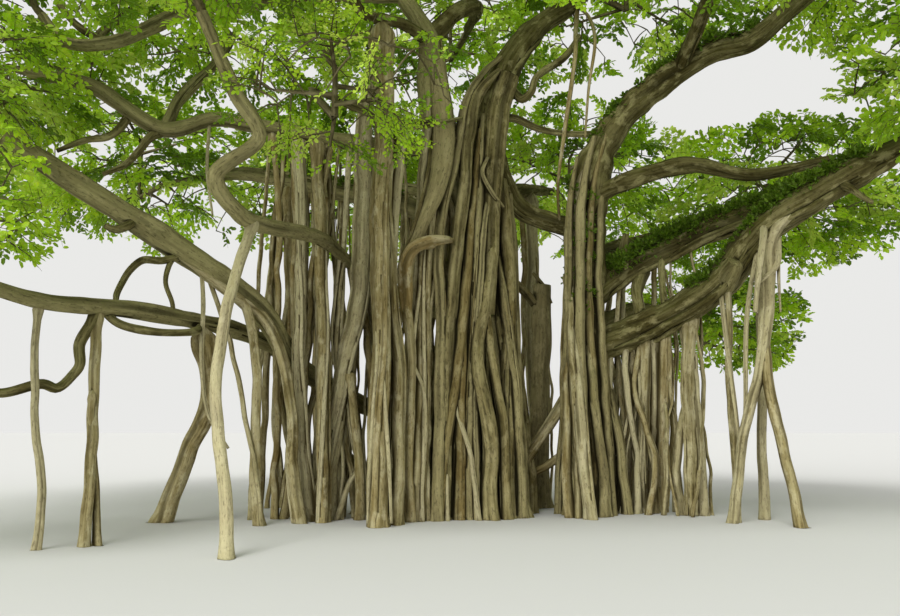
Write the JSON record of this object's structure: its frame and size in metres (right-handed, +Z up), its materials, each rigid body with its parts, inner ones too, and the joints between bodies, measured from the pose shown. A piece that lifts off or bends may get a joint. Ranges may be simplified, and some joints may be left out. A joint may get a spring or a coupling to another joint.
{
  "type": "banyan tree",
  "caption": "Spreading banyan tree: a trunk of fused roots, wide boughs held on pillar-like prop roots, and a broad crown of leaf masses.",
  "frame": {"origin": "ground level under the main trunk, on its flat cut face", "axes": "+Z up, +X to the right as seen from the front, and the front looks along -Y"},
  "size_m": [35.337, 27.2589, 19.3412],
  "materials": {
    "bark": "rough grey-brown bark with moss and pale lichen",
    "root_bark": "smoother pale grey-brown bark, ridged along its length",
    "leaves": "fresh green leaves with a soft sheen"
  },
  "bodies": {
    "root": {"bough_back_left": "bark", "bough_back_right": "bark", "bough_front": "bark", "bough_front_left": "bark", "bough_front_right": "bark", "bough_left_back": "bark", "bough_left_high": "bark", "bough_left_long": "bark", "bough_left_low": "bark", "bough_left_riser": "bark", "bough_left_top": "bark", "bough_link": "bark", "bough_right_back": "bark", "bough_right_back_low": "bark", "bough_right_high": "bark", "bough_right_low": "bark", "bough_right_mid": "bark", "bough_right_stub": "bark", "bough_top_back": "bark", "bough_top_front": "bark", "bough_top_left": "bark", "bough_upper_right": "bark", "foliage_back_left": "leaves", "foliage_back_right": "leaves", "foliage_front": "leaves", "foliage_front_left": "leaves", "foliage_front_right": "leaves", "foliage_left_back": "leaves", "foliage_left_high": "leaves", "foliage_left_long": "leaves", "foliage_left_low": "leaves", "foliage_left_riser": "leaves", "foliage_left_top": "leaves", "foliage_right_back": "leaves", "foliage_right_back_low": "leaves", "foliage_right_high": "leaves", "foliage_right_low": "leaves", "foliage_top_back": "leaves", "foliage_top_front": "leaves", "foliage_top_left": "leaves", "foliage_upper_right": "leaves", "root_back_left": "root_bark", "root_back_right": "root_bark", "root_centre_leaning": "root_bark", "root_front_left": "root_bark", "root_left_inner": "root_bark", "root_left_leaning": "root_bark", "root_left_outer": "root_bark", "root_under_long_bough": "root_bark", "roots_back": "root_bark", "roots_centre_front": "root_bark", "roots_centre_middle": "root_bark", "roots_left_front": "root_bark", "roots_right_cluster": "root_bark", "roots_right_forked": "root_bark", "roots_right_pair": "root_bark", "roots_second_trunk_front": "root_bark", "trunk": "bark", "trunk_right": "bark", "trunk_stump": "bark"}
  },
  "joints": []
}
